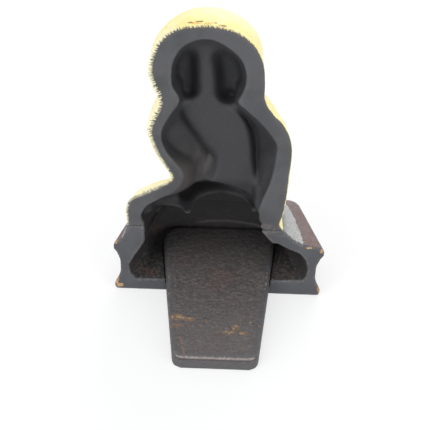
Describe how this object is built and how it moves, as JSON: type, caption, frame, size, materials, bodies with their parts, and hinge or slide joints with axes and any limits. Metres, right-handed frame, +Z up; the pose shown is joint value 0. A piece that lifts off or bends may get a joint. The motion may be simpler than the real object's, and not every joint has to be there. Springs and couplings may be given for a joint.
{
  "type": "doorstop",
  "caption": "Cast-iron wedge doorstop with a hollow-back seated child in a hooded raincoat on a coved plinth.",
  "frame": {"origin": "on the ground in the middle of the footprint of plinth and wedge", "axes": "+Z up; +Y from the figure's front towards the tip of the wedge, -Y the way the figure faces; +X to the left as seen from the open back"},
  "size_m": [0.0976, 0.0874, 0.1447],
  "materials": {
    "yellow_paint": "aged yellow enamel with black overpaint on the back, chipped",
    "plinth_paint": "black back, grey field, maroon border, worn at the corners",
    "bare_iron": "rough brown-black casting skin with rust spots",
    "steel": "dull, slightly rusted"
  },
  "bodies": {
    "root": {"figure_shell": "yellow_paint", "plinth_shell": "plinth_paint", "wedge_tongue": "bare_iron", "screw_left": "steel", "screw_right": "steel", "rivet_front": "steel", "rivet_rear": "steel"}
  },
  "joints": []
}
